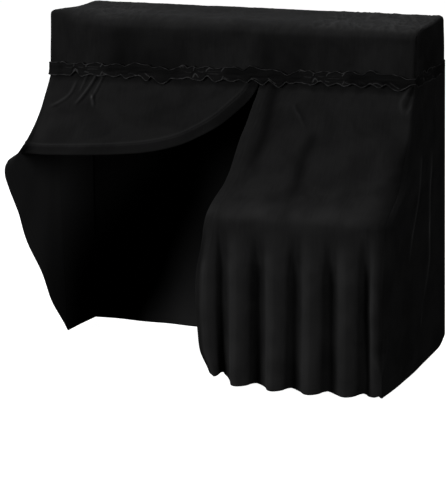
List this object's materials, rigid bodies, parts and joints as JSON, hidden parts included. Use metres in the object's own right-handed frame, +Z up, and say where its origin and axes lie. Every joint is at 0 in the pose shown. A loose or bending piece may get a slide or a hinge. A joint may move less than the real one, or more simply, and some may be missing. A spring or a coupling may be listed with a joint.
{
  "type": "upright piano cover",
  "caption": "Black velvet cover for an upright piano: fitted cap, gathered band and floor-length skirt with a split front, one leaf swept aside and one in folds.",
  "frame": {"origin": "middle of the underside of the cap's top, where the cover rests on the piano's lid", "axes": "+X along the piano to the right as seen from its front, +Y from the front to the back, +Z up"},
  "size_m": [1.5661, 0.842, 1.3331],
  "materials": {
    "cap_velvet": "black velvet with a short pile and a soft sheen",
    "band_velvet": "black velvet gathered along both edges",
    "skirt_velvet": "black velvet with a short pile and a soft sheen"
  },
  "bodies": {
    "root": {"cap_strip": "cap_velvet", "cap_end_left": "cap_velvet", "cap_end_right": "cap_velvet", "ruched_band": "band_velvet", "front_left_panel": "skirt_velvet", "front_right_panel": "skirt_velvet", "side_right_panel": "skirt_velvet", "side_left_panel": "skirt_velvet", "back_panel": "skirt_velvet"}
  },
  "joints": []
}
